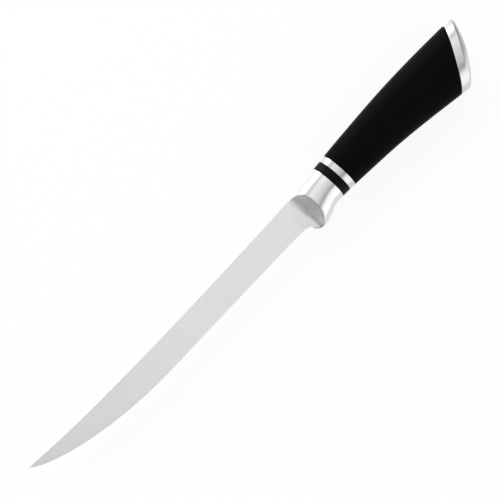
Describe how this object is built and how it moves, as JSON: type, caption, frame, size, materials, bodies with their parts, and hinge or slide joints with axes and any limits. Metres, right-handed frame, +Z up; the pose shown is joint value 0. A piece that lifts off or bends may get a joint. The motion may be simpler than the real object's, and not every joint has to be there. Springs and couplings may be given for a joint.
{
  "type": "ham slicing knife",
  "caption": "Slim upswept slicing knife: satin blade with stick tang, scooped polished bolster with finger guard, banded black grip flared to a slanted domed steel cap.",
  "frame": {"origin": "middle of the bounding box in plan, on the plane that the knife lies on", "axes": "+X along the knife from tip to butt, +Y from the cutting edge towards the spine, +Z up through the thickness, with the knife on its side"},
  "size_m": [0.3358, 0.035, 0.0232],
  "materials": {
    "blade_steel": "fine satin grain along the blade",
    "polished_steel": "polished stainless steel",
    "black_spacer": "smooth black",
    "black_core": "moulded, hidden",
    "soft_grip": "soft-touch, fine matte",
    "plated_steel": "zinc plated, hidden"
  },
  "bodies": {
    "root": {"blade": "blade_steel", "bolster": "polished_steel", "spacer_ring": "black_spacer", "steel_band": "polished_steel", "grip_core": "black_core", "grip_sleeve": "soft_grip", "tang_stud": "plated_steel", "nut_washer": "plated_steel", "tang_nut": "plated_steel", "end_cap": "polished_steel"}
  },
  "joints": []
}
